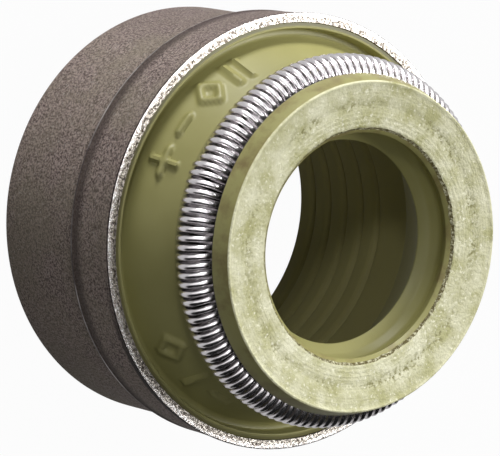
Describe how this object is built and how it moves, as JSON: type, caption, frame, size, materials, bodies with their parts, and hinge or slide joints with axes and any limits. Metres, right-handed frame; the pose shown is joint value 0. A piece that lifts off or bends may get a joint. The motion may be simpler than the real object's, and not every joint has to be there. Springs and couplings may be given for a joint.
{
  "type": "valve stem seal",
  "caption": "Valve stem seal: drawn steel case, moulded rubber body with a sealing lip and grooved guide bore, and a garter spring round its head.",
  "frame": {"origin": "centre of the rear end of the case, on the surface that the seal stands on", "axes": "+Z along the seal's axis, from the guide bore to the sealing head"},
  "size_m": [0.014, 0.014, 0.0103],
  "materials": {
    "phosphated_steel": "satin dark grey-brown phosphate",
    "fluoro_rubber": "satin olive green",
    "spring_wire": "bright drawn wire"
  },
  "bodies": {
    "root": {"steel_case": "phosphated_steel", "rubber_body": "fluoro_rubber", "garter_spring": "spring_wire"}
  },
  "joints": []
}
